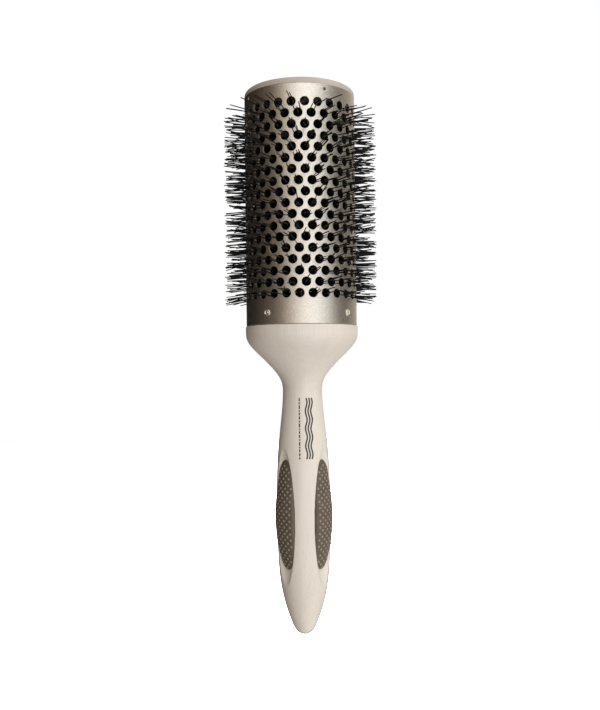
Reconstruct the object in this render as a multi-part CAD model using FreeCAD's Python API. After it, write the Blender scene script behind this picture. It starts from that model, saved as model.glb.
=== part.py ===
# Round barrel brush for blow-drying hair, as an assembly of separate pieces.
#
# Frame: millimetres, +Z up along the brush's axis, origin at the tip of the
# handle, barrel above. The front of the brush faces -Y.
import FreeCAD, Part
import math
import os

V = FreeCAD.Vector

# ---------------------------------------------------------------- dimensions
# barrel (perforated tube)
barrel_r = 26.5          # outer radius
barrel_wall = 1.0
barrel_z0 = 147.31       # lower rim, on the handle's shoulder
barrel_z1 = 256.55       # upper rim, under the cap's flange
vent_rows = 18
vents_per_row = 27
vent_r = 2.1
vent_top_z = 248.17      # centre of the uppermost row
vent_pitch = 5.114       # between rows
vent_phase = 4.96        # degrees from the front, towards +X

# handle
spigot_r = 25.4
spigot_z1 = 157.5
core_socket_r = 2.15
core_socket_z0 = 139.0
handle_profile = [       # (radius, height), tip to head
    (0.0, 0.0), (0.6, 0.042), (1.2, 0.168), (1.8, 0.38), (2.6, 0.8), (3.5, 1.5), (4.87, 3.38), (6.48, 7.2),
    (7.85, 11.02), (9.05, 14.84), (10.0, 18.67), (10.77, 22.49),
    (11.35, 26.32), (11.78, 30.15), (12.15, 35.5), (12.42, 42.0),
    (12.66, 50.0), (12.8, 58.0), (12.78, 66.0), (12.58, 74.0),
    (12.26, 82.0), (11.72, 89.6), (11.0, 97.29), (10.16, 104.98),
    (9.7, 110.0), (9.46, 114.0), (9.44, 117.5), (9.93, 120.38),
    (10.77, 122.31), (11.97, 124.24), (13.42, 126.16), (15.13, 128.09),
    (16.98, 130.02), (18.88, 131.94), (20.92, 133.87), (22.84, 135.8),
    (24.55, 137.73), (25.86, 139.66), (26.6, 141.59), (26.81, 142.6), (26.86, 143.6)]
head_r = 26.86
head_edge_z = 146.75
head_edge_r = 26.3

# scooped recesses and grip pads: two face forward, the third is at the back
pad_angles = {"grip_pad_left": -50.0, "grip_pad_right": 54.0, "grip_pad_back": 182.0}
scoop = [(11.07, 24.17), (7.95, 56.6), (11.76, 88.98)]    # its floor: (distance from axis, height)
scoop_axis = 16.5        # the recess is turned about a line this far from the handle's axis
pad_outline = [          # (half-width, height), upper tip to lower tip
    (0.0, 83.9), (1.2, 83.5), (2.15, 82.65), (3.0, 81.4), (3.75, 79.9),
    (4.35, 78.0), (4.85, 75.6), (5.35, 72.3), (5.75, 68.6), (6.2, 62.5),
    (6.4, 57.0), (6.3, 51.5), (5.9, 45.8), (5.35, 42.0), (4.65, 38.2),
    (3.85, 35.5), (2.9, 33.6), (1.75, 32.4), (0.85, 32.05), (0.0, 31.95)]
pad_profile = [          # (radius of the pad's outer surface, height)
    (9.8, 29.5), (10.2, 31.95), (10.6, 33.5), (11.15, 35.5), (11.8, 38.2),
    (12.35, 40.5), (12.85, 43.55), (13.27, 47.38), (13.62, 51.22),
    (13.84, 55.05), (13.86, 58.9), (13.62, 62.72), (13.25, 66.56),
    (12.88, 70.4), (12.52, 74.0), (12.1, 77.5), (11.7, 80.3),
    (11.4, 82.4), (11.15, 83.9), (10.9, 86.0)]

# end cap
cap_r = 26.42
cap_height = 3.1         # above the barrel's rim
cap_edge = 1.9           # rounding of its outer edge
cap_plate = 2.5
cap_skirt_r = 25.4
cap_skirt_wall = 2.0
cap_skirt_depth = 5.4
cap_boss_r = 4.5
cap_boss_depth = 6.0

# twisted core
wire_r = 0.95
wire_offset = 1.0
wire_pitch = 14.0
wire_z0 = 140.0
wire_z1 = 256.0

# bristles: one slim tuft through each vent
tuft_r_in = 2.3
tuft_r_out = 36.0
tuft_root = 0.14         # radius of the tuft at the core
tuft_tip = 0.62          # radius of the tuft at its tip

# fasteners
nail_z = 152.7
nail_angles = (-36.5, 53.5, 143.5, 233.5)
nail_head_r = 1.6
nail_head_h = 0.55
nail_shank_r = 0.5
nail_length = 8.0
pin_z = 254.3
pin_angles = (25.8, 115.8, 205.8, 295.8)
pin_r = 0.7
pin_sink = 0.55          # its end lies this far below the tube's surface


# ------------------------------------------------------------------- helpers
def out_dir(deg):
    """Horizontal direction at an angle from the front (-Y) towards +X."""
    a = math.radians(deg)
    return V(math.sin(a), -math.cos(a), 0)


def side_dir(deg):
    a = math.radians(deg)
    return V(math.cos(a), math.sin(a), 0)


def revolve(edges):
    face = Part.Face(Part.Wire(edges))
    return face.revolve(V(0, 0, 0), V(0, 0, 1), 360)


def line(a, b):
    return Part.LineSegment(V(a[0], 0, a[1]), V(b[0], 0, b[1])).toShape()


def poly(points):
    return [line(points[i], points[i + 1]) for i in range(len(points) - 1)]


def spline(points):
    c = Part.BSplineCurve()
    c.interpolate(Points=[V(p[0], 0, p[1]) for p in points])
    return c.toShape()


def export(name, shape):
    for s in shape.Solids:
        assert s.isValid(), name
    assert len(shape.Solids) >= 1, name
    shape.exportStep("parts/%s.step" % name)
    print("%-18s solids %3d  volume %10.1f mm3  z %.2f to %.2f" % (
        name, len(shape.Solids), sum(s.Volume for s in shape.Solids),
        shape.BoundBox.ZMin, shape.BoundBox.ZMax))


os.makedirs("parts", exist_ok=True)

# -------------------------------------------------------------------- handle
curve = spline(handle_profile)
edge_arc = Part.Arc(V(head_r, 0, head_edge_z),
                    V(head_r - 0.17, 0, head_edge_z + 0.39),
                    V(head_edge_r, 0, barrel_z0)).toShape()
edges = [curve, line((head_r, 143.6), (head_r, head_edge_z)), edge_arc]
edges += poly([(head_edge_r, barrel_z0), (spigot_r, barrel_z0),
               (spigot_r, spigot_z1 - 0.8), (spigot_r - 0.8, spigot_z1),
               (core_socket_r, spigot_z1), (core_socket_r, core_socket_z0),
               (0.0, core_socket_z0), (0.0, 0.0)])
handle = revolve(edges)


def scoop_tool(deg):
    """A spindle on a line beside the handle: it cuts one recess, hollow both along and across."""
    e = out_dir(deg)

    def at(d, z):
        return e * d + V(0, 0, z)
    a, m, b = scoop
    # the floor's arc is carried on a little past the wood at both ends
    arc = Part.Arc(at(*a), at(*m), at(*b)).toShape()
    circle = arc.Curve
    u0, u1 = arc.FirstParameter, arc.LastParameter
    grow = 1.5 / circle.Radius
    lo = circle.value(u0 - grow)
    hi = circle.value(u1 + grow)
    mid = circle.value(0.5 * (u0 + u1))
    floor = Part.Arc(lo, mid, hi).toShape()
    outline = [floor,
               Part.LineSegment(hi, at(scoop_axis, hi.z)).toShape(),
               Part.LineSegment(at(scoop_axis, hi.z), at(scoop_axis, lo.z)).toShape(),
               Part.LineSegment(at(scoop_axis, lo.z), lo).toShape()]
    face = Part.Face(Part.Wire(Part.__sortEdges__(outline)))
    return face.revolve(e * scoop_axis, V(0, 0, 1), 360)


scoops = {name: scoop_tool(a) for name, a in pad_angles.items()}
for tool in scoops.values():
    handle = handle.cut(tool)

nail_bores = [Part.makeCylinder(nail_shank_r + 0.05, nail_length + 0.3,
                                out_dir(a) * (barrel_r + 0.05 - nail_length) + V(0, 0, nail_z),
                                out_dir(a)) for a in nail_angles]
for tool in nail_bores:
    handle = handle.cut(tool)
handle = handle.Solids[0] if len(handle.Solids) == 1 else handle
export("handle", handle)

# ----------------------------------------------------------------- grip pads
body_edges = [spline(pad_profile)]
body_edges += poly([pad_profile[-1], (0.0, pad_profile[-1][1]),
                    (0.0, pad_profile[0][1]), pad_profile[0]])
pad_body = revolve(body_edges)
for name, deg in pad_angles.items():
    e, t = out_dir(deg), side_dir(deg)
    right = [(w, z) for w, z in pad_outline]
    left = [(-w, z) for w, z in reversed(pad_outline[1:-1])]
    pts = [e * 6.0 + t * w + V(0, 0, z) for w, z in right + left]
    c = Part.BSplineCurve()
    c.interpolate(Points=pts, PeriodicFlag=True)
    face = Part.Face(Part.Wire([c.toShape()]))
    prism = face.extrude(e * 14.0)
    pad = pad_body.common(prism).common(scoops[name])
    pad = Part.makeCompound(pad.Solids)
    export(name, pad)

# -------------------------------------------------------------------- barrel
tube = Part.makeCylinder(barrel_r, barrel_z1 - barrel_z0, V(0, 0, barrel_z0))
tube = tube.cut(Part.makeCylinder(barrel_r - barrel_wall, barrel_z1 - barrel_z0 + 2,
                                  V(0, 0, barrel_z0 - 1)))
cutters = []
vents = []
step = 360.0 / vents_per_row
for row in range(vent_rows):
    z = vent_top_z - row * vent_pitch
    for j in range(vents_per_row):
        a = vent_phase + (j + 0.5 * (row % 2)) * step
        vents.append((row, a, z))
        cutters.append(Part.makeCylinder(vent_r, 4.0, out_dir(a) * (barrel_r - 2.5) + V(0, 0, z),
                                         out_dir(a)))
for a in nail_angles:
    cutters.append(Part.makeCylinder(nail_shank_r + 0.05, 4.0,
                                     out_dir(a) * (barrel_r - 2.5) + V(0, 0, nail_z), out_dir(a)))
for a in pin_angles:
    cutters.append(Part.makeCylinder(pin_r + 0.05, 4.0,
                                     out_dir(a) * (barrel_r - 2.5) + V(0, 0, pin_z), out_dir(a)))
barrel = tube.cut(Part.makeCompound(cutters))
export("barrel", barrel)

# ------------------------------------------------------------------- end cap
top = barrel_z1 + cap_height
under = top - cap_plate
r0 = cap_r - cap_edge
k = cap_edge * math.sqrt(0.5)
cap_arc = Part.Arc(V(cap_r, 0, top - cap_edge), V(r0 + k, 0, top - cap_edge + k),
                   V(r0, 0, top)).toShape()
skirt_in = cap_skirt_r - cap_skirt_wall
edges = [cap_arc]
edges += poly([(r0, top), (0.0, top), (0.0, under), (core_socket_r, under),
               (core_socket_r, under - cap_boss_depth), (cap_boss_r, under - cap_boss_depth),
               (cap_boss_r, under), (skirt_in, under),
               (skirt_in, barrel_z1 - cap_skirt_depth), (cap_skirt_r, barrel_z1 - cap_skirt_depth),
               (cap_skirt_r, barrel_z1), (cap_r, barrel_z1), (cap_r, top - cap_edge)])
cap = revolve(edges)
for a in pin_angles:
    cap = cap.cut(Part.makeCylinder(pin_r + 0.05, 4.0,
                                    out_dir(a) * (cap_skirt_r - 2.5) + V(0, 0, pin_z), out_dir(a)))
export("end_cap", cap)

# -------------------------------------------------------------- twisted core
for name, turn in (("core_wire_a", 0.0), ("core_wire_b", 180.0)):
    helix = Part.makeHelix(wire_pitch, wire_z1 - wire_z0, wire_offset)
    start = V(wire_offset, 0, 0)
    tangent = V(0, 2 * math.pi * wire_offset, wire_pitch)
    section = Part.Wire([Part.makeCircle(wire_r, start, tangent)])
    wire = Part.Wire(helix).makePipeShell([section], True, True)
    wire.rotate(V(0, 0, 0), V(0, 0, 1), turn)
    wire.translate(V(0, 0, wire_z0))
    export(name, wire)

# ------------------------------------------------------------------ bristles
for row in range(vent_rows):
    tufts = []
    for r, a, z in vents:
        if r == row:
            tufts.append(Part.makeCone(tuft_root, tuft_tip, tuft_r_out - tuft_r_in,
                                       out_dir(a) * tuft_r_in + V(0, 0, z), out_dir(a)))
    export("bristle_row_%02d" % (row + 1), Part.makeCompound(tufts))

# ----------------------------------------------------------------- fasteners
nails = []
for a in nail_angles:
    e = out_dir(a)
    base = e * barrel_r + V(0, 0, nail_z)
    ball_r = (nail_head_r ** 2 + nail_head_h ** 2) / (2 * nail_head_h)
    ball = Part.makeSphere(ball_r, base + e * (nail_head_h - ball_r))
    half = Part.makeCylinder(nail_head_r + 0.5, nail_head_h + 1.0, base + e * 0.03, e)
    head = ball.common(half)
    # short collar so that the head's flat underside bears on the tube
    shank = Part.makeCylinder(nail_shank_r, nail_length - 0.2, base - e * (nail_length - 0.3), e)
    nails.append(head.fuse(shank).removeSplitter().Solids[0])
export("barrel_nails", Part.makeCompound(nails))

pins = []
for a in pin_angles:
    e = out_dir(a)
    length = barrel_r - pin_sink - (cap_skirt_r - 1.8)
    pins.append(Part.makeCylinder(pin_r, length, e * (cap_skirt_r - 1.8) + V(0, 0, pin_z), e))
export("cap_pins", Part.makeCompound(pins))
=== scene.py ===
"""Round barrel brush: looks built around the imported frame. Local sizes are millimetres, +Z from the handle's tip to the cap."""

import math

import bpy
import numpy as np
from mathutils import Matrix, Vector, noise

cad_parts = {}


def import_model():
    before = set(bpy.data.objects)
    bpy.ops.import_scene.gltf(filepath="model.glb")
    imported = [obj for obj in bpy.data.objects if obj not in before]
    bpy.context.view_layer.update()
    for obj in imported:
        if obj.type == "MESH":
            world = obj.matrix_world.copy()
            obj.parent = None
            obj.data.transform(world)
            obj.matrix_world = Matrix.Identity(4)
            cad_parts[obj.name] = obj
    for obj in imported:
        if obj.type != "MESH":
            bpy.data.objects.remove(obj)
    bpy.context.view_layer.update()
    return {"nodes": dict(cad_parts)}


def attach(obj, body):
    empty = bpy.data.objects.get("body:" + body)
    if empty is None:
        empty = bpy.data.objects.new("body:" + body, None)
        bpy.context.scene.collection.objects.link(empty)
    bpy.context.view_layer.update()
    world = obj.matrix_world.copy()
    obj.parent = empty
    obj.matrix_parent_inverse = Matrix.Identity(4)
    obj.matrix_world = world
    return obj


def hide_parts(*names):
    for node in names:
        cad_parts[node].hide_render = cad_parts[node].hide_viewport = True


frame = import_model()
NODES = frame["nodes"]
scene = bpy.context.scene

MM = 0.001
BARREL_R, WALL = 26.5, 1.0
BARREL_Z0, BARREL_Z1 = 147.31, 256.55
ROWS, PER_ROW, VENT_R = 18, 27, 2.1
TOP_ROW_Z, PITCH, PHASE = 248.17, 5.114, 4.96
STEP = 360.0 / PER_ROW
HEAD_R = 26.86
LENGTH = 259.65
NAIL_Z, NAIL_ANGLES = 152.7, (-36.5, 53.5, 143.5, 233.5)
PIN_Z, PIN_ANGLES = 254.3, (25.8, 115.8, 205.8, 295.8)
PADS = {"grip_pad_left": -50.0, "grip_pad_right": 54.0, "grip_pad_back": 182.0}


def polar(r, deg, z):
    """Points at radius r and an angle from the front (-Y) towards +X."""
    a = np.radians(deg)
    r, a, z = np.broadcast_arrays(np.asarray(r, float), a, np.asarray(z, float))
    return np.stack([r * np.sin(a), -r * np.cos(a), z], -1)


# ------------------------------------------------------------------ mesh tools
def make(name, verts, faces, materials, smooth=True, normals=None, face_mats=None, weld=0.0):
    mesh = bpy.data.meshes.new(name)
    mesh.from_pydata((np.asarray(verts, float) * MM).tolist(), [], faces)
    for m in materials:
        mesh.materials.append(m)
    if face_mats is not None:
        mesh.polygons.foreach_set("material_index", np.asarray(face_mats, np.int32))
    mesh.polygons.foreach_set("use_smooth", [smooth] * len(mesh.polygons))
    if normals is not None:
        n = np.asarray(normals, float)
        n = n / np.maximum(np.linalg.norm(n, axis=1, keepdims=True), 1e-9)
        mesh.normals_split_custom_set_from_vertices(n.tolist())
    mesh.update()
    obj = bpy.data.objects.new(name, mesh)
    scene.collection.objects.link(obj)
    return obj


def place(obj, slot, *nodes):
    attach(obj, "root")
    if nodes:
        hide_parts(*nodes)
    return obj


def grid_faces(rows, cols, wrap=True, base=0, flip=False):
    """Quads of a rows x cols grid of vertices, columns wrapping round."""
    i, j = np.meshgrid(np.arange(rows - 1), np.arange(cols if wrap else cols - 1), indexing="ij")
    j2 = (j + 1) % cols
    a, b = i * cols + j, i * cols + j2
    c, d = (i + 1) * cols + j2, (i + 1) * cols + j
    q = np.stack([a, b, c, d], -1).reshape(-1, 4) + base
    return (q[:, ::-1] if flip else q).tolist()


def turned(name, profile, segments, materials, close_start=True, close_end=True):
    """A turned piece from (radius, height) points, wound so that a profile going up on the outside faces out."""
    deg = np.arange(segments) * 360.0 / segments
    pts = []
    for r, z in profile:
        pts.append(polar(r, deg, z))
    verts = np.concatenate(pts)
    faces = grid_faces(len(profile), segments)
    if close_start:
        faces.append(list(range(segments))[::-1])
    if close_end:
        base = (len(profile) - 1) * segments
        faces.append([base + k for k in range(segments)])
    return make(name, verts, faces, materials)


def smooth_by_angle(obj, degrees=35.0):
    """Marks edges sharper than the angle, so that shading breaks only there."""
    mesh = obj.data
    import bmesh
    bm = bmesh.new()
    bm.from_mesh(mesh)
    limit = math.radians(degrees)
    for e in bm.edges:
        if len(e.link_faces) == 2 and e.calc_face_angle(0.0) > limit:
            e.smooth = False
    bm.to_mesh(mesh)
    bm.free()
    return obj


def catmull(xs, ys, x):
    """Monotone-ish cubic through (xs, ys), as a numpy function."""
    xs, ys, x = np.asarray(xs, float), np.asarray(ys, float), np.asarray(x, float)
    h = np.diff(xs)
    d = np.diff(ys) / h
    m = np.empty_like(ys)
    m[1:-1] = (h[1:] * d[:-1] + h[:-1] * d[1:]) / (h[1:] + h[:-1])
    m[0], m[-1] = d[0], d[-1]
    k = np.clip(np.searchsorted(xs, x) - 1, 0, len(xs) - 2)
    t = (x - xs[k]) / h[k]
    a, b = ys[k], ys[k + 1]
    return ((2 * t**3 - 3 * t**2 + 1) * a + (t**3 - 2 * t**2 + t) * h[k] * m[k]
            + (-2 * t**3 + 3 * t**2) * b + (t**3 - t**2) * h[k] * m[k + 1])


# ------------------------------------------------------------------- materials
def new_material(name):
    m = bpy.data.materials.new(name)
    m.use_nodes = True
    nt = m.node_tree
    bsdf = next(n for n in nt.nodes if n.type == "BSDF_PRINCIPLED")
    return m, nt, bsdf


def coords(nt, scale=(1, 1, 1), rotation=(0, 0, 0)):
    tc = nt.nodes.new("ShaderNodeTexCoord")
    mp = nt.nodes.new("ShaderNodeMapping")
    mp.inputs["Scale"].default_value = scale
    mp.inputs["Rotation"].default_value = rotation
    nt.links.new(tc.outputs["Object"], mp.inputs["Vector"])
    return mp.outputs["Vector"]


def noise_tex(nt, vector, scale, detail=3.0, rough=0.5, distortion=0.0):
    n = nt.nodes.new("ShaderNodeTexNoise")
    n.inputs["Scale"].default_value = scale
    n.inputs["Detail"].default_value = detail
    n.inputs["Roughness"].default_value = rough
    n.inputs["Distortion"].default_value = distortion
    nt.links.new(vector, n.inputs["Vector"])
    return n.outputs["Fac"]


def ramp(nt, fac, stops):
    r = nt.nodes.new("ShaderNodeValToRGB")
    e = r.color_ramp.elements
    while len(e) > 1:
        e.remove(e[-1])
    e[0].position, e[0].color = stops[0][0], (*stops[0][1], 1)
    for p, c in stops[1:]:
        x = e.new(p)
        x.color = (*c, 1)
    nt.links.new(fac, r.inputs["Fac"])
    return r.outputs["Color"]


def mix(nt, fac, a, b, blend="MIX"):
    m = nt.nodes.new("ShaderNodeMix")
    m.data_type = "RGBA"
    m.blend_type = blend
    for sock, v in ((m.inputs[0], fac), (m.inputs[6], a), (m.inputs[7], b)):
        if hasattr(v, "node"):
            nt.links.new(v, sock)
        elif isinstance(v, (int, float)):
            sock.default_value = v
        else:
            sock.default_value = (*v, 1)
    return m.outputs[2]


def map_range(nt, v, a, b, c, d):
    m = nt.nodes.new("ShaderNodeMapRange")
    for i, x in zip((1, 2, 3, 4), (a, b, c, d)):
        m.inputs[i].default_value = x
    nt.links.new(v, m.inputs[0])
    return m.outputs[0]


def bump(nt, bsdf, height, strength, distance):
    b = nt.nodes.new("ShaderNodeBump")
    b.inputs["Strength"].default_value = strength
    b.inputs["Distance"].default_value = distance
    nt.links.new(height, b.inputs["Height"])
    nt.links.new(b.outputs["Normal"], bsdf.inputs["Normal"])
    return b


def metal_material():
    """Satin champagne anodising: painted glints, fine random specks of brighter base colour standing in for the sparkle
    of the bead-blasted grain, over a soft cloudiness.
    """
    m, nt, b = new_material("champagne_satin_metal")
    b.inputs["Metallic"].default_value = 1.0
    v = coords(nt)
    grain = noise_tex(nt, v, 1500.0, 2.0, 0.65)
    painted_glint = noise_tex(nt, v, 2700.0, 1.0, 0.5)
    cloud = noise_tex(nt, v, 60.0, 3.0, 0.5)
    base = ramp(nt, grain, [(0.28, (0.60, 0.52, 0.435)), (0.5, (0.70, 0.615, 0.522)), (0.72, (0.80, 0.715, 0.62))])
    # painted glints: random specks lift the base colour towards a brighter tone
    base = mix(nt, map_range(nt, painted_glint, 0.60, 0.72, 0.0, 0.35), base, (0.88, 0.80, 0.70))
    base = mix(nt, map_range(nt, cloud, 0.3, 0.7, 0.0, 0.14), base, (0.60, 0.515, 0.43))
    nt.links.new(base, b.inputs["Base Color"])
    nt.links.new(map_range(nt, grain, 0.3, 0.7, 0.34, 0.43), b.inputs["Roughness"])
    bump(nt, b, grain, 0.30, 0.00006)
    return m


def wood_material():
    """Pale lacquered beech: long fine pores, short ray flecks and a slow drift of tone."""
    m, nt, b = new_material("pale_beech")
    fine = noise_tex(nt, coords(nt, (1, 1, 0.03)), 1700.0, 3.0, 0.6)
    broad = noise_tex(nt, coords(nt, (1, 1, 0.05)), 150.0, 3.0, 0.55, 0.4)
    drift = noise_tex(nt, coords(nt, (1, 1, 0.4)), 45.0, 2.0, 0.5)
    fleck = noise_tex(nt, coords(nt, (1, 1, 0.10)), 2600.0, 1.0, 0.5)
    base = ramp(nt, broad, [(0.25, (0.756, 0.652, 0.556)), (0.5, (0.802, 0.704, 0.612)), (0.75, (0.834, 0.742, 0.655))])
    base = mix(nt, map_range(nt, drift, 0.35, 0.65, 0.0, 0.22), base, (0.79, 0.668, 0.552))
    base = mix(nt, map_range(nt, fine, 0.35, 0.7, 0.0, 0.38), base, (0.69, 0.575, 0.468))
    base = mix(nt, map_range(nt, fleck, 0.63, 0.75, 0.0, 0.30), base, (0.54, 0.43, 0.33))
    nt.links.new(base, b.inputs["Base Color"])
    nt.links.new(map_range(nt, fine, 0.3, 0.7, 0.44, 0.58), b.inputs["Roughness"])
    b.inputs["Specular IOR Level"].default_value = 0.3
    bump(nt, b, fine, 0.12, 0.00006)
    return m


def cap_material():
    m, nt, b = new_material("beige_moulding")
    v = coords(nt)
    n = noise_tex(nt, v, 90.0, 4.0, 0.55)
    f = noise_tex(nt, v, 2200.0, 2.0, 0.5)
    base = ramp(nt, n, [(0.3, (0.500, 0.410, 0.342)), (0.7, (0.555, 0.461, 0.389))])
    nt.links.new(base, b.inputs["Base Color"])
    nt.links.new(map_range(nt, f, 0.3, 0.7, 0.40, 0.52), b.inputs["Roughness"])
    bump(nt, b, f, 0.10, 0.00004)
    return m


def rubber_material(name, low, high, rough):
    m, nt, b = new_material(name)
    v = coords(nt)
    n = noise_tex(nt, v, 300.0, 4.0, 0.6)
    f = noise_tex(nt, v, 3200.0, 2.0, 0.5)
    nt.links.new(ramp(nt, n, [(0.3, low), (0.7, high)]), b.inputs["Base Color"])
    nt.links.new(map_range(nt, f, 0.3, 0.7, rough - 0.06, rough + 0.08), b.inputs["Roughness"])
    b.inputs["Specular IOR Level"].default_value = 0.35
    bump(nt, b, f, 0.15, 0.00004)
    return m


def nylon_material():
    m, nt, b = new_material("black_nylon")
    v = coords(nt)
    n = noise_tex(nt, v, 700.0, 1.0, 0.5)
    nt.links.new(ramp(nt, n, [(0.3, (0.0035, 0.0032, 0.003)), (0.7, (0.009, 0.008, 0.007))]), b.inputs["Base Color"])
    nt.links.new(map_range(nt, n, 0.3, 0.7, 0.46, 0.56), b.inputs["Roughness"])
    b.inputs["Specular IOR Level"].default_value = 0.18
    return m


def brass_material(name="pale_brass", low=(0.72, 0.62, 0.45), high=(0.86, 0.78, 0.62), rough=0.16):
    m, nt, b = new_material(name)
    b.inputs["Metallic"].default_value = 1.0
    v = coords(nt)
    n = noise_tex(nt, v, 1800.0, 2.0, 0.5)
    nt.links.new(ramp(nt, n, [(0.3, low), (0.7, high)]), b.inputs["Base Color"])
    nt.links.new(map_range(nt, n, 0.3, 0.7, rough, rough + 0.12), b.inputs["Roughness"])
    return m


def steel_material():
    m, nt, b = new_material("drawn_steel_wire")
    b.inputs["Metallic"].default_value = 1.0
    v = coords(nt, (1, 1, 0.2))
    n = noise_tex(nt, v, 1500.0, 2.0, 0.5)
    nt.links.new(ramp(nt, n, [(0.3, (0.42, 0.42, 0.43)), (0.7, (0.62, 0.62, 0.63))]), b.inputs["Base Color"])
    nt.links.new(map_range(nt, n, 0.3, 0.7, 0.25, 0.4), b.inputs["Roughness"])
    return m


def ink_material(name, low, high):
    m, nt, b = new_material(name)
    v = coords(nt)
    n = noise_tex(nt, v, 1500.0, 2.0, 0.5)
    nt.links.new(ramp(nt, n, [(0.3, low), (0.7, high)]), b.inputs["Base Color"])
    nt.links.new(map_range(nt, n, 0.3, 0.7, 0.40, 0.55), b.inputs["Roughness"])
    return m


METAL, WOOD, CAP = metal_material(), wood_material(), cap_material()
RUBBER = rubber_material("taupe_rubber", (0.112, 0.081, 0.054), (0.142, 0.105, 0.074), 0.55)
# the dots are the same rubber as the pad; their lighter colour is a painted highlight on the raised domes
RUBBER_DOT_PAINTED_HIGHLIGHT = rubber_material("taupe_rubber_dots_painted_highlight", (0.255, 0.208, 0.158), (0.315, 0.262, 0.204), 0.50)
NYLON, BRASS, STEEL = nylon_material(), brass_material("pale_brass", (0.78, 0.69, 0.55), (0.92, 0.84, 0.70), 0.22), steel_material()
# the cap pins sit sunk in dimples; their very dark brass is painted shade of those dimples
PIN_BRASS_PAINTED_SHADE = brass_material("brass_painted_dimple_shade", (0.20, 0.15, 0.10), (0.30, 0.23, 0.16), 0.35)
INK = ink_material("dark_ink", (0.030, 0.024, 0.019), (0.050, 0.041, 0.033))


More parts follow.
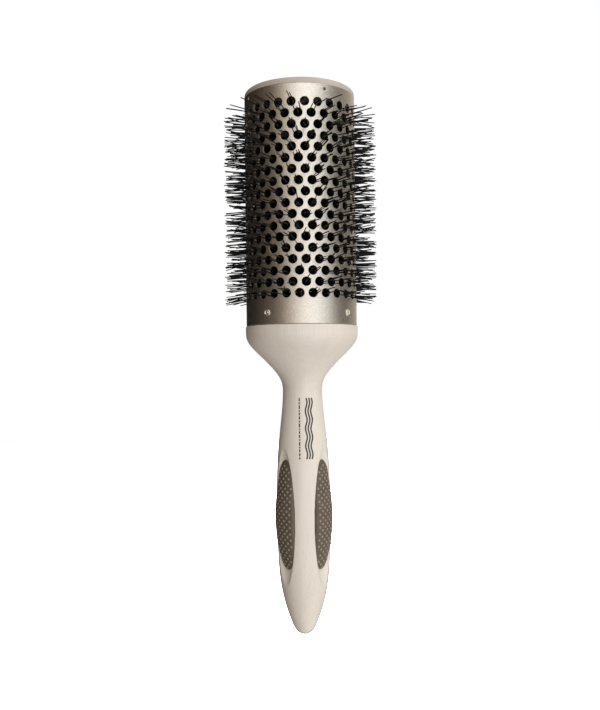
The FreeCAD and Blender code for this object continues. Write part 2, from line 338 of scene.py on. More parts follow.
# ---------------------------------------------------------------------- barrel
def build_barrel():
    """Perforated tube. Every vent sits in its own brick of the staggered grid, with a rolled lip and a real wall."""
    top_n, side_n = 10, 6
    ring = 2 * (top_n + side_n)                      # vertices round a brick and round a vent
    sample = STEP / top_n                            # degrees between samples on a row border
    half_w = STEP / 2
    half_h = PITCH / 2
    # a brick's outline, clockwise seen from outside, as (degrees, height) from the vent's centre
    out = []
    for i in range(top_n):
        out.append((-half_w + i * sample, half_h))
    for i in range(side_n):
        out.append((half_w, half_h - i * PITCH / side_n))
    for i in range(top_n):
        out.append((half_w - i * sample, -half_h))
    for i in range(side_n):
        out.append((-half_w, -half_h + i * PITCH / side_n))
    out = np.array(out)
    deg_mm = math.radians(1) * BARREL_R
    ang = np.arctan2(out[:, 1], out[:, 0] * deg_mm)   # direction of each outline point
    # spread the directions a little more evenly round the vent
    even = ang[0] - np.arange(ring) * 2 * math.pi / ring
    dirs = np.unwrap(ang) * 0.55 + even * 0.45
    cu, cv = np.cos(dirs), np.sin(dirs)

    lip = 0.16
    # (vent radius, distance from the axis, normal out, normal towards the vent's centre)
    levels = [(VENT_R + 0.30, BARREL_R, 1.0, 0.0), (VENT_R + lip, BARREL_R, 1.0, 0.0),
              (VENT_R + 0.29 * lip, BARREL_R - 0.29 * lip, 0.71, 0.71),
              (VENT_R, BARREL_R - lip, 0.0, 1.0), (VENT_R, BARREL_R - WALL + 0.1, 0.0, 1.0),
              (VENT_R + 0.1, BARREL_R - WALL, -0.71, 0.71), (VENT_R + 0.2, BARREL_R - WALL, -1.0, 0.0)]
    centres = [(PHASE + (j + 0.5 * (k % 2)) * STEP, TOP_ROW_Z - k * PITCH, k)
               for k in range(ROWS) for j in range(PER_ROW)]
    verts, normals, faces = [], [], []
    index = {}

    def shared(deg, z, r, inner):
        key = (int(round((deg % 360.0) / sample * 10)) % 2700, int(round(z * 50)), inner)
        if key not in index:
            index[key] = len(verts)
            verts.append(polar(r, deg, z).tolist())
            n = polar(1.0, deg, 0.0)
            normals.append((n if not inner else -n).tolist())
        return index[key]

    for deg, z, k in centres:
        outer = [shared(deg + o[0], z + o[1], BARREL_R, False) for o in out]
        rings = [outer]
        for vr, r, no, nc in levels:
            base = len(verts)
            du, dv = vr * cu / deg_mm, vr * cv
            p = polar(r, deg + du, z + dv)
            n_out = polar(1.0, deg + du, 0.0)
            side = polar(1.0, deg + 90.0, 0.0)
            n_in = -(side[None] * cu[:, None] + np.array([0, 0, 1.0])[None] * cv[:, None])
            verts.extend(p.tolist())
            normals.extend((n_out * no + n_in * nc).tolist())
            rings.append(list(range(base, base + ring)))
        inner = [shared(deg + o[0], z + o[1], BARREL_R - WALL, True) for o in out]
        rings.append(inner)
        for a, b in zip(rings, rings[1:]):
            for i in range(ring):
                i2 = (i + 1) % ring
                faces.append((a[i], b[i], b[i2], a[i2]))

    # plain bands above and below, on the same lattice of angles
    cols = PER_ROW * top_n
    degs = PHASE + (np.arange(cols)) * sample
    top_z = TOP_ROW_Z + half_h
    bot_z = TOP_ROW_Z - (ROWS - 1) * PITCH - half_h

    def band(levels_z, upward):
        """levels_z: (radius, height, normal out, normal up, inner?) from the brick border over the rim to the inner border."""
        lines = []
        for r, z, no, nu, kind in levels_z:
            if kind is not None:
                lines.append([shared(d, z, r, kind) for d in degs])
            else:
                base = len(verts)
                verts.extend(polar(r, degs, z).tolist())
                n = polar(no, degs, nu)
                normals.extend(n.tolist())
                lines.append(list(range(base, base + cols)))
        return lines

    def skin(lines, flip, skip=None):
        for li, (a, b) in enumerate(zip(lines, lines[1:])):
            for i in range(cols):
                if skip and (li, i) in skip:
                    continue
                i2 = (i + 1) % cols
                q = (a[i], a[i2], b[i2], b[i])
                faces.append(q[::-1] if flip else q)

    e = 0.22
    top_levels = [(BARREL_R, top_z, 1, 0, False)]
    zs_patch = np.linspace(PIN_Z - 1.2, PIN_Z + 1.2, 5)
    top_levels += [(BARREL_R, 251.9, 1, 0, None)]
    top_levels += [(BARREL_R, z, 1, 0, None) for z in zs_patch]
    top_levels += [(BARREL_R, BARREL_Z1 - e, 1, 0, None), (BARREL_R - 0.29 * e, BARREL_Z1 - 0.29 * e, 0.71, 0.71, None),
                   (BARREL_R - e, BARREL_Z1, 0, 1, None), (BARREL_R - WALL + 0.1, BARREL_Z1, 0, 1, None),
                   (BARREL_R - WALL, BARREL_Z1 - 0.1, -1, 0, None), (BARREL_R - WALL, 251.0, -1, 0, None),
                   (BARREL_R - WALL, top_z, -1, 0, True)]
    lines = band(top_levels, True)
    skip = set()
    patches = []
    for a in PIN_ANGLES:
        c = int(round(((a - PHASE) % 360.0) / sample))
        patches.append((a, c))
        for li in range(2, 6):
            for dc in range(-2, 2):
                skip.add((li, (c + dc) % cols))
    skin(lines, False, skip)
    # round pin holes in the four patches
    for a, c in patches:
        edge = []
        rows_ = lines[2:7]
        col = [(c + d) % cols for d in (-2, -1, 0, 1, 2)]
        for i in range(4):
            edge.append(rows_[4][col[i]])
        for i in range(4):
            edge.append(rows_[4 - i][col[4]])
        for i in range(4):
            edge.append(rows_[0][col[4 - i]])
        for i in range(4):
            edge.append(rows_[i][col[0]])
        p = np.array([verts[i] for i in edge])
        side = polar(1.0, a + 90.0, 0.0)
        mid = polar(BARREL_R, a, PIN_Z)
        u, v = (p - mid) @ side, p[:, 2] - PIN_Z
        t = np.arctan2(v, u)
        rings = [edge]
        for vr, r, no, nc in ((0.95, BARREL_R, 1, 0), (0.86, BARREL_R - 0.02, 0.8, 0.5), (0.76, BARREL_R - 0.14, 0.3, 1.0), (0.72, BARREL_R - 0.6, 0, 1)):
            base = len(verts)
            du = vr * np.cos(t) / deg_mm
            verts.extend(polar(r, a + du, PIN_Z + vr * np.sin(t)).tolist())
            n_out = polar(1.0, a + du, 0.0)
            n_in = -(side[None] * np.cos(t)[:, None] + np.array([0, 0, 1.0])[None] * np.sin(t)[:, None])
            normals.extend((n_out * no + n_in * nc).tolist())
            rings.append(list(range(base, base + len(edge))))
        for x, y in zip(rings, rings[1:]):
            for i in range(len(edge)):
                i2 = (i + 1) % len(edge)
                faces.append((x[i], y[i], y[i2], x[i2]))
    bot_levels = [(BARREL_R, bot_z, 1, 0, False), (BARREL_R, 154.5, 1, 0, None), (BARREL_R, 150.5, 1, 0, None),
                  (BARREL_R, BARREL_Z0 + e, 1, 0, None), (BARREL_R - 0.29 * e, BARREL_Z0 + 0.29 * e, 0.71, -0.71, None),
                  (BARREL_R - e, BARREL_Z0, 0, -1, None), (BARREL_R - WALL, BARREL_Z0, 0, -1, None),
                  (BARREL_R - WALL, bot_z, -1, 0, True)]
    skin(band(bot_levels, False), True)
    obj = make("barrel_shell", verts, faces, [METAL], normals=normals)
    return obj


# -------------------------------------------------------------- handle and pads
HANDLE = [(0.0, 0.0), (0.6, 0.042), (1.2, 0.168), (1.8, 0.38), (2.6, 0.8), (3.5, 1.5), (4.87, 3.38), (6.48, 7.2),
          (7.85, 11.02), (9.05, 14.84), (10.0, 18.67), (10.77, 22.49), (11.35, 26.32), (11.78, 30.15), (12.15, 35.5),
          (12.42, 42.0), (12.66, 50.0), (12.8, 58.0), (12.78, 66.0), (12.58, 74.0), (12.26, 82.0), (11.72, 89.6),
          (11.0, 97.29), (10.16, 104.98), (9.7, 110.0), (9.46, 114.0), (9.44, 117.5), (9.93, 120.38), (10.77, 122.31),
          (11.97, 124.24), (13.42, 126.16), (15.13, 128.09), (16.98, 130.02), (18.88, 131.94), (20.92, 133.87),
          (22.84, 135.8), (24.55, 137.73), (25.86, 139.66), (26.6, 141.59), (26.81, 142.6), (26.86, 143.6),
          (26.86, 146.75)]
SCOOP = ((11.07, 24.17), (7.95, 56.6), (11.76, 88.98))
SCOOP_AXIS = 16.5


def wood_r(z):
    z = np.asarray(z, float)
    r = catmull([p[1] for p in HANDLE], [p[0] for p in HANDLE], np.clip(z, 0.0, 146.7))
    tip = np.sqrt(np.maximum(0.0, 8.5 * z - 0.3 * z * z))
    return np.where(z < 1.0, np.minimum(tip, r + 1.0), r)


def scoop_d(z):
    """Distance of a recess's floor from the axis along its middle: one arc through three points."""
    (d0, z0), (d1, z1), (d2, z2) = SCOOP
    ax, ay, bx, by = z1 - z0, d1 - d0, z2 - z0, d2 - d0
    den = 2 * (ax * by - ay * bx)
    ux = (by * (ax * ax + ay * ay) - ay * (bx * bx + by * by)) / den
    uy = (ax * (bx * bx + by * by) - bx * (ax * ax + ay * ay)) / den
    cz, cd = z0 + ux, d0 + uy
    rad = math.hypot(ux, uy)
    return cd - np.sqrt(np.maximum(rad * rad - (np.asarray(z, float) - cz) ** 2, 1.0))


def scoop_floor(w, z):
    """The same floor at a sideways distance w: the recess is turned about a line beside the handle."""
    rho = SCOOP_AXIS - scoop_d(z)
    return SCOOP_AXIS - np.sqrt(np.maximum(rho * rho - np.asarray(w, float) ** 2, 0.01))


def carved_r(z, deg):
    """Radius of the wood at a height and angle, with the three recesses and their eased edges."""
    r = wood_r(z)
    rho = SCOOP_AXIS - scoop_d(z)
    for a in PADS.values():
        off = np.radians((deg - a + 180.0) % 360.0 - 180.0)
        miss = SCOOP_AXIS * np.sin(off)
        hit = (np.cos(off) > 0.3) & (np.abs(miss) < rho) & (z > 20.0) & (z < 94.0)
        cut = SCOOP_AXIS * np.cos(off) - np.sqrt(np.maximum(rho * rho - miss * miss, 0.0))
        cut = np.where(hit, cut, 1e3)
        k = 0.14
        h = np.clip(0.5 + 0.5 * (cut - r) / k, 0, 1)
        soft = cut * (1 - h) + r * h - k * h * (1 - h)
        r = np.where(cut > r + k, r, soft)
    return r


def build_handle():
    seg = 360
    deg = np.arange(seg) * 360.0 / seg
    zs = np.concatenate([[0.02, 0.08, 0.18, 0.32, 0.5, 0.72, 1.0, 1.4, 1.9, 2.5, 3.2, 4.0, 5.0, 6.2, 7.5],
                         np.arange(9.0, 22.0, 1.0), np.arange(22.0, 92.0, 0.4), np.arange(92.0, 116.0, 1.2),
                         np.arange(116.5, 146.8, 0.55), [146.75]])
    zs = np.unique(np.round(zs, 4))
    zz, dd = np.meshgrid(zs, deg, indexing="ij")
    verts = polar(carved_r(zz, dd), dd, zz).reshape(-1, 3)
    rest = [(HEAD_R - 0.06, 146.90), (HEAD_R - 0.24, 147.06), (HEAD_R - 0.62, 147.18), (HEAD_R - 1.10, 147.22), (25.4, 147.24),
            (25.4, 156.7), (24.6, 157.5), (2.15, 157.5), (2.15, 139.0)]
    extra = [polar(r, deg, z) for r, z in rest]
    verts = np.concatenate([verts] + extra)
    faces = grid_faces(len(zs) + len(rest), seg)
    faces.append(list(range(seg))[::-1])
    base = (len(zs) + len(rest) - 1) * seg
    faces.append([base + k for k in range(seg)])
    obj = make("handle_wood", verts, faces, [WOOD])
    return smooth_by_angle(obj, 50.0)


PAD_EDGE = [(0.0, 83.9), (1.2, 83.5), (2.15, 82.65), (3.0, 81.4), (3.75, 79.9), (4.35, 78.0), (4.85, 75.6), (5.35, 72.3),
            (5.75, 68.6), (6.2, 62.5), (6.4, 57.0), (6.3, 51.5), (5.9, 45.8), (5.35, 42.0), (4.65, 38.2), (3.85, 35.5),
            (2.9, 33.6), (1.75, 32.4), (0.85, 32.05), (0.0, 31.95)]
PAD_R = [(9.8, 29.5), (10.2, 31.95), (10.6, 33.5), (11.15, 35.5), (11.8, 38.2), (12.35, 40.5), (12.85, 43.55), (13.27, 47.38),
         (13.62, 51.22), (13.84, 55.05), (13.86, 58.9), (13.62, 62.72), (13.25, 66.56), (12.88, 70.4), (12.52, 74.0), (12.1, 77.5),
         (11.7, 80.3), (11.4, 82.4), (11.15, 83.9), (10.9, 86.0)]


def pad_top(z):
    return catmull([p[1] for p in PAD_R], [p[0] for p in PAD_R], z)


def edge_curve(n):
    """n points round the pad's outline, evenly spaced, as (sideways, height)."""
    right = np.array(PAD_EDGE)
    left = np.array([(-w, z) for w, z in PAD_EDGE[1:-1]])[::-1]
    pts = np.concatenate([right, left])
    fine = []
    m = len(pts)
    for i in range(m):
        p0, p1, p2, p3 = pts[i - 1], pts[i], pts[(i + 1) % m], pts[(i + 2) % m]
        for t in np.linspace(0, 1, 12, endpoint=False):
            fine.append(0.5 * ((2 * p1) + (-p0 + p2) * t + (2 * p0 - 5 * p1 + 4 * p2 - p3) * t**2
                               + (-p0 + 3 * p1 - 3 * p2 + p3) * t**3))
    fine = np.array(fine)
    seg = np.linalg.norm(np.roll(fine, -1, 0) - fine, axis=1)
    s = np.concatenate([[0], np.cumsum(seg)])
    closed = np.concatenate([fine, fine[:1]])
    at = np.linspace(0, s[-1], n, endpoint=False)
    return np.stack([np.interp(at, s, closed[:, 0]), np.interp(at, s, closed[:, 1])], -1)


def build_pad(name, deg0):
    """A rubber inlay: flat-bottomed on its scoop, crowned outside, with a rounded edge and rows of raised dots."""
    n = 160
    edge = edge_curve(n)
    centre = np.array([0.0, 57.0])
    e_out, e_side = polar(1.0, deg0, 0.0), polar(1.0, deg0 + 90.0, 0.0)

    def world(w, d, z):
        return e_out[None] * np.asarray(d)[:, None] + e_side[None] * np.asarray(w)[:, None] + np.array([0, 0, 1.0])[None] * np.asarray(z)[:, None]

    def top(w, z, drop=0.0):
        r = pad_top(z) - drop
        return np.sqrt(np.maximum(r * r - w * w, 1.0))

    verts, faces = [], []
    # nested outlines, shrinking towards the pad's spine
    tang = np.roll(edge, -1, 0) - np.roll(edge, 1, 0)
    nrm = np.stack([tang[:, 1], -tang[:, 0]], -1)
    nrm /= np.linalg.norm(nrm, axis=1, keepdims=True)
    if np.sum(nrm * (edge - centre)) > 0:
        nrm = -nrm
    spine_z = np.clip(edge[:, 1], 37.0, 76.5)
    spine = np.stack([np.zeros(n), spine_z], -1)

    def inset(mm):
        step = edge + nrm * mm
        return step

    rings = []
    rad = 0.55
    for k, (mm, frac) in enumerate([(0.0, None), (0.0, 1.0), (0.042, 0.62), (0.16, 0.29), (0.34, 0.076), (0.55, 0.0)]):
        p = inset(mm)
        if frac is None:
            d = scoop_floor(p[:, 0], p[:, 1])
        else:
            t = top(p[:, 0], p[:, 1])
            lowest = scoop_floor(p[:, 0], p[:, 1]) + 0.06
            d = np.maximum(t - rad * frac, lowest)
        rings.append(world(p[:, 0], d, p[:, 1]))
    inner = inset(0.55)
    for f in np.linspace(0.12, 1.0, 12):
        p = inner * (1 - f) + spine * f
        rings.append(world(p[:, 0], top(p[:, 0], p[:, 1]), p[:, 1]))
    verts = np.concatenate(rings)
    m = len(rings)
    faces = grid_faces(m, n, flip=True)
    faces.append(list(range(n)))            # underside
    # close the spine: pair the two sides of the last ring
    last = (m - 1) * n
    mats = [0] * len(faces)
    # dots: low domes on a staggered lattice
    dot_v, dot_f = [], []
    base = len(verts)
    pitch_z, pitch_s = 3.0, 1.62
    r_dot, h_dot = 0.58, 0.26
    segs = 12
    poly = edge_curve(400)

    def inside(w, z, margin):
        half = np.interp(z, [p[1] for p in PAD_EDGE][::-1], [p[0] for p in PAD_EDGE][::-1])
        return abs(w) < half - margin and 31.95 + margin < z < 83.9 - margin

    for col in range(-6, 7):
        for row in range(-12, 13):
            z = 57.0 + row * pitch_z + (pitch_z / 2 if col % 2 else 0.0)
            r = float(pad_top(z))
            s = col * pitch_s
            w = r * math.sin(s / r)
            if not inside(w, z, r_dot + 0.12):
                continue
            ang = s / r
            cdir = e_out * math.cos(ang) + e_side * math.sin(ang)
            sdir = -e_out * math.sin(ang) + e_side * math.cos(ang)
            slope = (float(pad_top(z + 0.5)) - float(pad_top(z - 0.5)))
            up = np.array([0, 0, 1.0]) + cdir * slope
            up /= np.linalg.norm(up)
            nn = np.cross(sdir, up)
            if nn @ cdir < 0:
                nn = -nn
            c0 = cdir * r + np.array([0, 0, z])
            th = np.arange(segs) * 2 * math.pi / segs
            b0 = len(dot_v)
            for rr, hh in ((1.06, -0.05), (0.97, 0.10), (0.78, 0.24), (0.45, 0.305)):
                ringp = c0[None] + (sdir[None] * np.cos(th)[:, None] + up[None] * np.sin(th)[:, None]) * r_dot * rr + nn[None] * hh * (h_dot / 0.32)
                dot_v.extend(ringp.tolist())
            dot_v.append((c0 + nn * h_dot).tolist())
            order = 1 if (np.cross(sdir, up) @ nn) > 0 else -1
            for lv in range(3):
                for i in range(segs):
                    i2 = (i + 1) % segs
                    q = [b0 + lv * segs + i, b0 + lv * segs + i2, b0 + (lv + 1) * segs + i2, b0 + (lv + 1) * segs + i]
                    dot_f.append(q if order > 0 else q[::-1])
            for i in range(segs):
                i2 = (i + 1) % segs
                q = [b0 + 3 * segs + i, b0 + 3 * segs + i2, b0 + 4 * segs]
                dot_f.append(q if order > 0 else q[::-1])
    verts = np.concatenate([verts, np.array(dot_v)])
    faces += [[i + base for i in q] for q in dot_f]
    # the dots take the lighter copy of the rubber: painted highlight
    mats += [1] * len(dot_f)
    obj = make(name + "_rubber", verts, faces, [RUBBER, RUBBER_DOT_PAINTED_HIGHLIGHT], face_mats=mats)
    import bmesh
    bm = bmesh.new()
    bm.from_mesh(obj.data)
    bmesh.ops.remove_doubles(bm, verts=[v for v in bm.verts if v.index < base], dist=2e-6)
    bmesh.ops.recalc_face_normals(bm, faces=bm.faces)
    bm.to_mesh(obj.data)
    bm.free()
    return smooth_by_angle(obj, 40.0)


# --------------------------------------------------------------------- end cap
def build_cap():
    r, edge, top = 26.42, 1.9, LENGTH
    prof = [(25.4, 251.15), (25.4, 256.45), (26.3, 256.58), (r, 256.72)]
    for t in np.linspace(0, 90, 12):
        a = math.radians(t)
        prof.append((r - edge + edge * math.cos(a), top - edge + edge * math.sin(a)))
    prof += [(23.0, top), (18.0, top), (12.0, top), (6.0, top), (1.0, top)]
    outer = len(prof)
    inner = [(23.4, 251.15), (23.4, 257.15), (4.5, 257.15), (4.5, 251.15), (2.15, 251.15), (2.15, 257.15), (0.5, 257.15)]
    prof = inner[::-1] + prof
    obj = turned("end_cap_shell", prof, 192, [CAP])
    return smooth_by_angle(obj, 40.0)


# -------------------------------------------------------------------- fasteners
def build_nails():
    verts, faces = [], []
    seg = 32
    prof = [(0.5, -6.5), (0.5, 0.02), (1.52, 0.02), (1.60, 0.10), (1.59, 0.24), (1.48, 0.40), (1.30, 0.47), (1.12, 0.43), (0.98, 0.28),
            (0.90, 0.08), (0.74, 0.06), (0.62, 0.20), (0.46, 0.31), (0.26, 0.36), (0.08, 0.375)]
    for a in NAIL_ANGLES:
        e, s = polar(1.0, a, 0.0), polar(1.0, a + 90.0, 0.0)
        th = np.arange(seg) * 2 * math.pi / seg
        base = len(verts)
        for r, h in prof:
            p = (e * (BARREL_R + h))[None] + s[None] * (r * np.cos(th))[:, None] + np.array([0, 0, 1.0])[None] * (NAIL_Z + r * np.sin(th))[:, None]
            verts.extend(p.tolist())
        faces += grid_faces(len(prof), seg, base=base)
        faces.append([base + k for k in range(seg)][::-1])
        faces.append([base + (len(prof) - 1) * seg + k for k in range(seg)])
    return smooth_by_angle(make("barrel_nails_brass", verts, faces, [BRASS]), 50.0)


def build_pins():
    verts, faces = [], []
    seg = 20
    prof = [(0.70, -2.9), (0.70, -0.72), (0.62, -0.62), (0.40, -0.56), (0.12, -0.55)]
    for a in PIN_ANGLES:
        e, s = polar(1.0, a, 0.0), polar(1.0, a + 90.0, 0.0)
        th = np.arange(seg) * 2 * math.pi / seg
        base = len(verts)
        for r, h in prof:
            p = (e * (BARREL_R + h))[None] + s[None] * (r * np.cos(th))[:, None] + np.array([0, 0, 1.0])[None] * (PIN_Z + r * np.sin(th))[:, None]
            verts.extend(p.tolist())
        faces += grid_faces(len(prof), seg, base=base)
        faces.append([base + k for k in range(seg)][::-1])
        faces.append([base + (len(prof) - 1) * seg + k for k in range(seg)])
    return smooth_by_angle(make("cap_pins_brass", verts, faces, [PIN_BRASS_PAINTED_SHADE]), 50.0)


# --------------------------------------------------------------------- bristles
def tubes(paths, radii, sides):
    """paths N x K x 3, radii N x K: one closed tapered tube each."""
    n, k, _ = paths.shape
    t = np.gradient(paths, axis=1)
    t /= np.linalg.norm(t, axis=2, keepdims=True)
    up = np.zeros_like(t)
    up[..., 2] = 1.0
    u = np.cross(t, up)
    u /= np.linalg.norm(u, axis=2, keepdims=True)
    v = np.cross(t, u)
    th = np.arange(sides) * 2 * math.pi / sides
    ring = (paths[:, :, None, :] + (u[:, :, None, :] * np.cos(th)[None, None, :, None]
            + v[:, :, None, :] * np.sin(th)[None, None, :, None]) * radii[:, :, None, None])
    verts = ring.reshape(-1, 3)
    base = (np.arange(n) * k * sides)[:, None, None]
    i, j = np.meshgrid(np.arange(k - 1), np.arange(sides), indexing="ij")
    a, b = i * sides + j, i * sides + (j + 1) % sides
    c, d = (i + 1) * sides + (j + 1) % sides, (i + 1) * sides + j
    q = np.stack([a, d, c, b], -1).reshape(1, -1, 4) + base
    faces = q.reshape(-1, 4).tolist()
    cap0 = (np.arange(sides)[None] + np.arange(n)[:, None] * k * sides)
    cap1 = (np.arange(sides)[None] + (k - 1) * sides + np.arange(n)[:, None] * k * sides)
    faces += cap0.tolist() + cap1[:, ::-1].tolist()
    return verts, faces


def build_bristles(row):
    """The filaments of one row. Each vent lets a small tuft through, and neighbouring tufts lean together."""
    rng = np.random.default_rng(4100 + row)
    z_row = TOP_ROW_Z - row * PITCH
    zed = np.array([0, 0, 1.0])
    paths, radii = [], []
    for j in range(PER_ROW):
        deg = PHASE + (j + 0.5 * (row % 2)) * STEP
        e, s = polar(1.0, deg, 0.0), polar(1.0, deg + 90.0, 0.0)
        count = int(rng.choice([1, 1, 2, 2, 3] if row == 0 else [3, 3, 3, 4, 4]))     # the top row is sparser
        p = Vector((deg * 0.10, z_row * 0.19, 3.7))
        tuft_u = 0.10 * noise.noise(p) + rng.normal(0, 0.045)
        tuft_v = 0.12 * noise.noise(p + Vector((17.3, 5.1, 9.2))) + rng.normal(0, 0.05)
        for _ in range(count):
            rho = 1.72 * rng.random() ** 0.5
            phi = rng.random() * 2 * math.pi
            hu, hv = rho * math.cos(phi), rho * math.sin(phi)
            start = polar(1.95, deg + rng.normal(0, 35.0), z_row + float(np.clip(rng.normal(0, 1.1), -2.2, 2.2)))
            hole = e * (BARREL_R - 0.5) + s * hu + zed * (z_row + hv)
            tip_r = 36.1 + float(np.clip(rng.normal(0, 0.40), -1.5, 0.7))
            out = tip_r - BARREL_R
            wild = 3.6 if rng.random() < 0.06 else 1.0
            su = tuft_u + 0.052 * rng.normal() * wild - 0.012 * hu
            sv = tuft_v + 0.048 * rng.normal() * wild - 0.012 * hv
            # end rows fan outwards round the barrel's flanks and stay low in front
            flank = 1.0 - math.cos(math.radians(deg * 2.0))
            if row == 0:
                sv = min(sv + 0.06 * flank, 0.03 + 0.17 * flank)
            if row == ROWS - 1:
                sv = max(sv - 0.06 * flank, -0.10 - 0.16 * flank)
            curve = rng.normal(0, 0.22, 2)
            pts = [start, start * 0.55 + hole * 0.45 + s * rng.normal(0, 0.5) + zed * rng.normal(0, 0.4), hole]
            for f in (0.12, 0.4, 0.7, 1.0):
                pts.append(hole + e * (0.5 + out * f) + s * (su * out * f + curve[0] * f * f)
                           + zed * (sv * out * f + curve[1] * f * f))
            # the nylon is a little slimmer towards its blunt tip
            rr = 0.250 + rng.normal(0, 0.014)
            paths.append(np.array(pts))
            radii.append(np.array([rr, rr, rr, rr, rr * 0.98, rr * 0.94, rr * 0.86]))
    verts, faces = tubes(np.array(paths), np.array(radii), 6)
    # filaments that never found a vent: they end just inside the tube's wall
    paths, radii = [], []
    for _ in range(290):
        deg = rng.random() * 360.0
        e, s = polar(1.0, deg, 0.0), polar(1.0, deg + 90.0, 0.0)
        dz = float(np.clip(rng.normal(0, 1.8), -2.8, 2.8))
        start = polar(1.95, deg, z_row + 0.3 * dz)
        end = e * float(rng.uniform(21.5, 24.3)) + zed * (z_row + dz)
        bend = rng.normal(0, 0.8, 2)
        paths.append(np.array([start * (1 - f) + end * f + (s * bend[0] + zed * bend[1] * 0.4) * math.sin(math.pi * f)
                               for f in (0.0, 0.33, 0.67, 1.0)]))
        radii.append(np.full(4, 0.225 + rng.normal(0, 0.012)))
    inner_v, inner_f = tubes(np.array(paths), np.array(radii), 5)
    faces = faces + [[i + len(verts) for i in f] for f in inner_f]
    verts = np.concatenate([verts, inner_v])
    name = "bristle_row_%02d" % (row + 1)
    obj = make("bristles_%02d" % (row + 1), verts, faces, [NYLON])
    return place(obj, "nylon", name)


# ------------------------------------------------------------------------ print
def surface_strip(points, width, lift=0.03):
    """A thin raised strip of ink on the neck. points: (sideways mm, height)."""
    pts = np.array(points, float)
    t = np.gradient(pts, axis=0)
    t /= np.linalg.norm(t, axis=1, keepdims=True)
    n = np.stack([-t[:, 1], t[:, 0]], -1)
    rows = []
    for side, h in ((-1, 0.0), (-1, lift), (1, lift), (1, 0.0)):
        p = pts + n * side * width / 2
        r = wood_r(p[:, 1])
        deg = np.degrees(p[:, 0] / r)
        rows.append(polar(r + h - 0.005, deg, p[:, 1]))
    return rows


def build_print():
    verts, faces = [], []

    def add(points, width):
        rows = surface_strip(points, width)
        k = len(points)
        base = len(verts)
        for r in rows:
            verts.extend(r.tolist())
        for a in range(4):
            b = (a + 1) % 4
            for i in range(k - 1):
                faces.append([base + a * k + i, base + b * k + i, base + b * k + i + 1, base + a * k + i + 1])
        faces.append([base + a * k for a in range(4)][::-1])
        faces.append([base + a * k + k - 1 for a in range(4)])

    z0, z1 = 84.5, 113.0
    # plain wavy strands down the neck
    for off in (1.65, 2.95, 4.25):
        t = np.linspace(0, 1, 110)
        z = z1 + (z0 - z1) * t
        x = off + 0.40 * np.sin(t * 2 * math.pi * 3.5)
        add(np.stack([x, z], -1), 0.74)
    # a fine broken line beside them
    z = z1
    k = 0
    lengths = (1.5, 0.9, 1.9, 0.7, 1.3)
    while z > z0 + 0.6:
        ln = lengths[k % 5]
        t = np.linspace(0, 1, 4)
        add(np.stack([np.full(4, -1.6), z - ln * t], -1), 0.62)
        z -= ln + 0.45
        k += 1
    obj = make("handle_print", verts, faces, [INK], smooth=False)
    import bmesh
    bm = bmesh.new()
    bm.from_mesh(obj.data)
    bmesh.ops.recalc_face_normals(bm, faces=bm.faces)
    bm.to_mesh(obj.data)
    bm.free()
    return obj


# --------------------------------------------------------------------- assemble
place(build_barrel(), "barrel_metal", "barrel")
place(build_handle(), "wood", "handle")
place(build_cap(), "cap_plastic", "end_cap")
for pad, angle in PADS.items():
    place(build_pad(pad, angle), "rubber", pad)
place(build_nails(), "fastener_brass", "barrel_nails")
place(build_pins(), "fastener_brass", "cap_pins")
for row in range(ROWS):
    build_bristles(row)
place(build_print(), None)
for n in ("core_wire_a", "core_wire_b"):
    for slot in NODES[n].material_slots:
        slot.material = STEEL

# ----------------------------------------------------------------------- camera
F_PX, DIST, TILT, ROLL, TX, TY = 854.1, 411.5, math.radians(-0.82), math.radians(-0.63), 1.02, -3.39
ct, st, cr, sr = math.cos(TILT), math.sin(TILT), math.cos(ROLL), math.sin(ROLL)
# rows: camera right, camera forward, camera up, in the brush's frame
right = Vector((cr, sr * st, sr * ct))
forward = Vector((0, ct, -st))
up = Vector((-sr, cr * st, cr * ct))
shift = Vector((TX, DIST, TY))
origin = -(right * shift.x + forward * shift.y + up * shift.z)
origin.z += 130.0
cam_data = bpy.data.cameras.new("camera")
cam = bpy.data.objects.new("camera", cam_data)
scene.collection.objects.link(cam)
cam_data.sensor_fit = "AUTO"
cam_data.sensor_width = 36.0
cam_data.lens = F_PX / 710.0 * 36.0
cam_data.clip_start, cam_data.clip_end = 0.01, 100.0
cam.matrix_world = Matrix((
    (right.x, up.x, -forward.x, origin.x * MM),
    (right.y, up.y, -forward.y, origin.y * MM),
    (right.z, up.z, -forward.z, origin.z * MM),
    (0, 0, 0, 1)))
scene.camera = cam

# ------------------------------------------------------------- floor and lights
n_ring, n_seg = 24, 96
floor_v = [(0.0, 0.0, -0.0002)]
for i in range(1, n_ring + 1):
    rr = 1.2 * (i / n_ring) ** 1.5
    floor_v += [(rr * math.cos(2 * math.pi * k / n_seg), rr * math.sin(2 * math.pi * k / n_seg), -0.0002) for k in range(n_seg)]
floor_f = [(0, 1 + k, 1 + (k + 1) % n_seg) for k in range(n_seg)]
for i in range(n_ring - 1):
    a0, b0 = 1 + i * n_seg, 1 + (i + 1) * n_seg
    floor_f += [(a0 + k, b0 + k, b0 + (k + 1) % n_seg, a0 + (k + 1) % n_seg) for k in range(n_seg)]
floor_mesh = bpy.data.meshes.new("floor")
floor_mesh.from_pydata(floor_v, [], floor_f)
floor = bpy.data.objects.new("floor", floor_mesh)
scene.collection.objects.link(floor)
fm, fnt, fb = new_material("pale_floor")
fb.inputs["Base Color"].default_value = (0.86, 0.86, 0.86, 1)
fb.inputs["Roughness"].default_value = 0.9
fb.inputs["Specular IOR Level"].default_value = 0.1
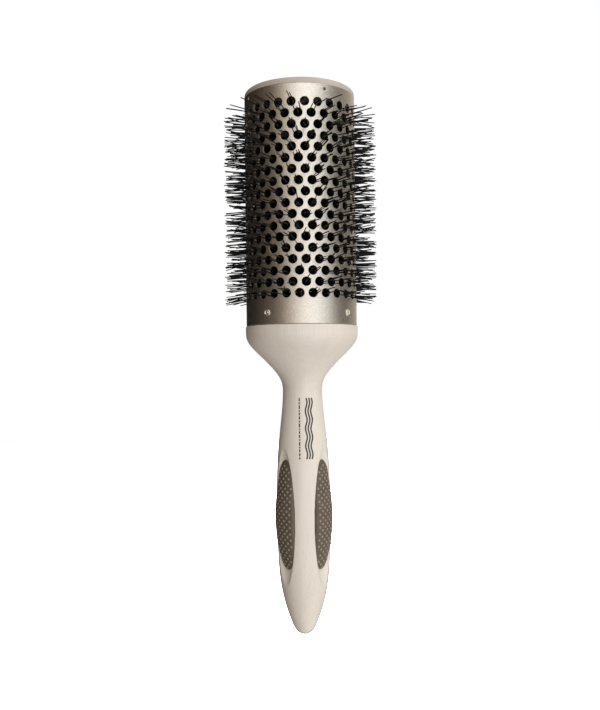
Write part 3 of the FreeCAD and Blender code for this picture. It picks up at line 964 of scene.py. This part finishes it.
# the floor fades into the white sweep behind it
f_tc = fnt.nodes.new("ShaderNodeTexCoord")
f_len = fnt.nodes.new("ShaderNodeVectorMath")
f_len.operation = "LENGTH"
fnt.links.new(f_tc.outputs["Object"], f_len.inputs[0])
f_clear = fnt.nodes.new("ShaderNodeBsdfTransparent")
f_mix = fnt.nodes.new("ShaderNodeMixShader")
f_out = next(n for n in fnt.nodes if n.type == "OUTPUT_MATERIAL")
fnt.links.new(map_range(fnt, f_len.outputs["Value"], 0.05, 0.9, 0.55, 1.0), f_mix.inputs[0])
fnt.links.new(fb.outputs[0], f_mix.inputs[1])
fnt.links.new(f_clear.outputs[0], f_mix.inputs[2])
fnt.links.new(f_mix.outputs[0], f_out.inputs[0])
floor_mesh.materials.append(fm)
floor.is_shadow_catcher = True

world = bpy.data.worlds.new("studio")
scene.world = world
world.use_nodes = True
wnt = world.node_tree
for n in list(wnt.nodes):
    wnt.nodes.remove(n)
w_out = wnt.nodes.new("ShaderNodeOutputWorld")
w_tc = wnt.nodes.new("ShaderNodeTexCoord")
w_sep = wnt.nodes.new("ShaderNodeSeparateXYZ")
wnt.links.new(w_tc.outputs["Generated"], w_sep.inputs[0])
w_neg = wnt.nodes.new("ShaderNodeMath")
w_neg.operation = "MULTIPLY"
w_neg.inputs[1].default_value = -1.0
wnt.links.new(w_sep.outputs["Y"], w_neg.inputs[0])
w_atan = wnt.nodes.new("ShaderNodeMath")
w_atan.operation = "ARCTAN2"
wnt.links.new(w_sep.outputs["X"], w_atan.inputs[0])
wnt.links.new(w_neg.outputs[0], w_atan.inputs[1])
w_map = wnt.nodes.new("ShaderNodeMapRange")
w_map.inputs[1].default_value, w_map.inputs[2].default_value = -math.pi, math.pi
# the soft box leans: its upper end is nearer the middle
w_lean = wnt.nodes.new("ShaderNodeMapRange")
for i, v in zip((1, 2, 3, 4), (-0.02, 0.34, 0.0, 0.42)):
    w_lean.inputs[i].default_value = v
wnt.links.new(w_sep.outputs["Z"], w_lean.inputs[0])
w_sum = wnt.nodes.new("ShaderNodeMath")
w_sum.operation = "ADD"
wnt.links.new(w_atan.outputs[0], w_sum.inputs[0])
wnt.links.new(w_lean.outputs[0], w_sum.inputs[1])
wnt.links.new(w_sum.outputs[0], w_map.inputs[0])

WORLD = 3.0
KEY_TINT, FILL_TINT, RIM_TINT = (1.0, 1.065, 1.12), (1.0, 0.76, 0.54), (1.0, 0.965, 0.875)
# level with the brush: a tall soft box right of the front, a warm weak fill on the left, the white sweep behind. (azimuth, radiance, tint)
SIDE = [(-180, 0.85, RIM_TINT), (-166, 0.62, RIM_TINT), (-157, 0.06, FILL_TINT), (-148, 0.002, FILL_TINT), (-108, 0.002, FILL_TINT),
        (-94, 0.014, FILL_TINT), (-78, 0.045, FILL_TINT), (-60, 0.070, FILL_TINT), (-44, 0.085, FILL_TINT), (-27, 0.24, (1, 0.80, 0.60)),
        (-8, 0.72, (1, 0.95, 0.86)), (9, 1.36, (1, 1.04, 1.07)), (24, 1.50, KEY_TINT), (42, 1.42, KEY_TINT), (58, 1.06, KEY_TINT),
        (72, 0.48, (1, 1.01, 0.96)), (83, 0.15, RIM_TINT), (92, 0.06, RIM_TINT), (106, 0.08, RIM_TINT), (120, 0.24, RIM_TINT), (142, 0.42, RIM_TINT),
        (165, 0.72, RIM_TINT), (180, 0.85, RIM_TINT)]
# above and below it: wide overhead banks and their bounce off the table
HIGH = [(-180, 1.00, RIM_TINT), (-150, 0.50, RIM_TINT), (-118, 0.06, FILL_TINT), (-60, 0.01, FILL_TINT), (-38, 0.02, FILL_TINT), (-18, 0.20, (1, 0.84, 0.66)),
        (0, 0.85, (1, 0.95, 0.87)), (22, 1.95, (1, 1.04, 1.07)), (60, 2.80, KEY_TINT), (85, 2.45, KEY_TINT), (108, 1.45, RIM_TINT), (135, 1.00, RIM_TINT),
        (180, 1.00, RIM_TINT)]


def world_ramp(table):
    return ramp(wnt, w_map.outputs[0], [((a + 180) / 360, tuple(v * t / WORLD for t in tint)) for a, v, tint in table])


def height_mask(a0, a1):
    m = wnt.nodes.new("ShaderNodeMapRange")
    m.inputs[1].default_value, m.inputs[2].default_value = a0, a1
    wnt.links.new(w_abs.outputs[0], m.inputs[0])
    return m.outputs[0]


w_abs = wnt.nodes.new("ShaderNodeMath")
w_abs.operation = "ABSOLUTE"
wnt.links.new(w_sep.outputs["Z"], w_abs.inputs[0])
w_mix = mix(wnt, height_mask(0.48, 0.66), world_ramp(SIDE), world_ramp(HIGH))
w_mix = mix(wnt, height_mask(0.86, 0.97), w_mix, (0.14, 0.14, 0.135))
w_bg = wnt.nodes.new("ShaderNodeBackground")
wnt.links.new(w_mix, w_bg.inputs["Color"])
w_bg.inputs["Strength"].default_value = WORLD
w_white = wnt.nodes.new("ShaderNodeBackground")
w_white.inputs["Color"].default_value = (1, 1, 1, 1)
w_path = wnt.nodes.new("ShaderNodeLightPath")
w_mixs = wnt.nodes.new("ShaderNodeMixShader")
wnt.links.new(w_path.outputs["Is Camera Ray"], w_mixs.inputs[0])
wnt.links.new(w_bg.outputs[0], w_mixs.inputs[1])
wnt.links.new(w_white.outputs[0], w_mixs.inputs[2])
wnt.links.new(w_mixs.outputs[0], w_out.inputs[0])

scene.view_settings.view_transform = "Standard"
scene.view_settings.look = "None"
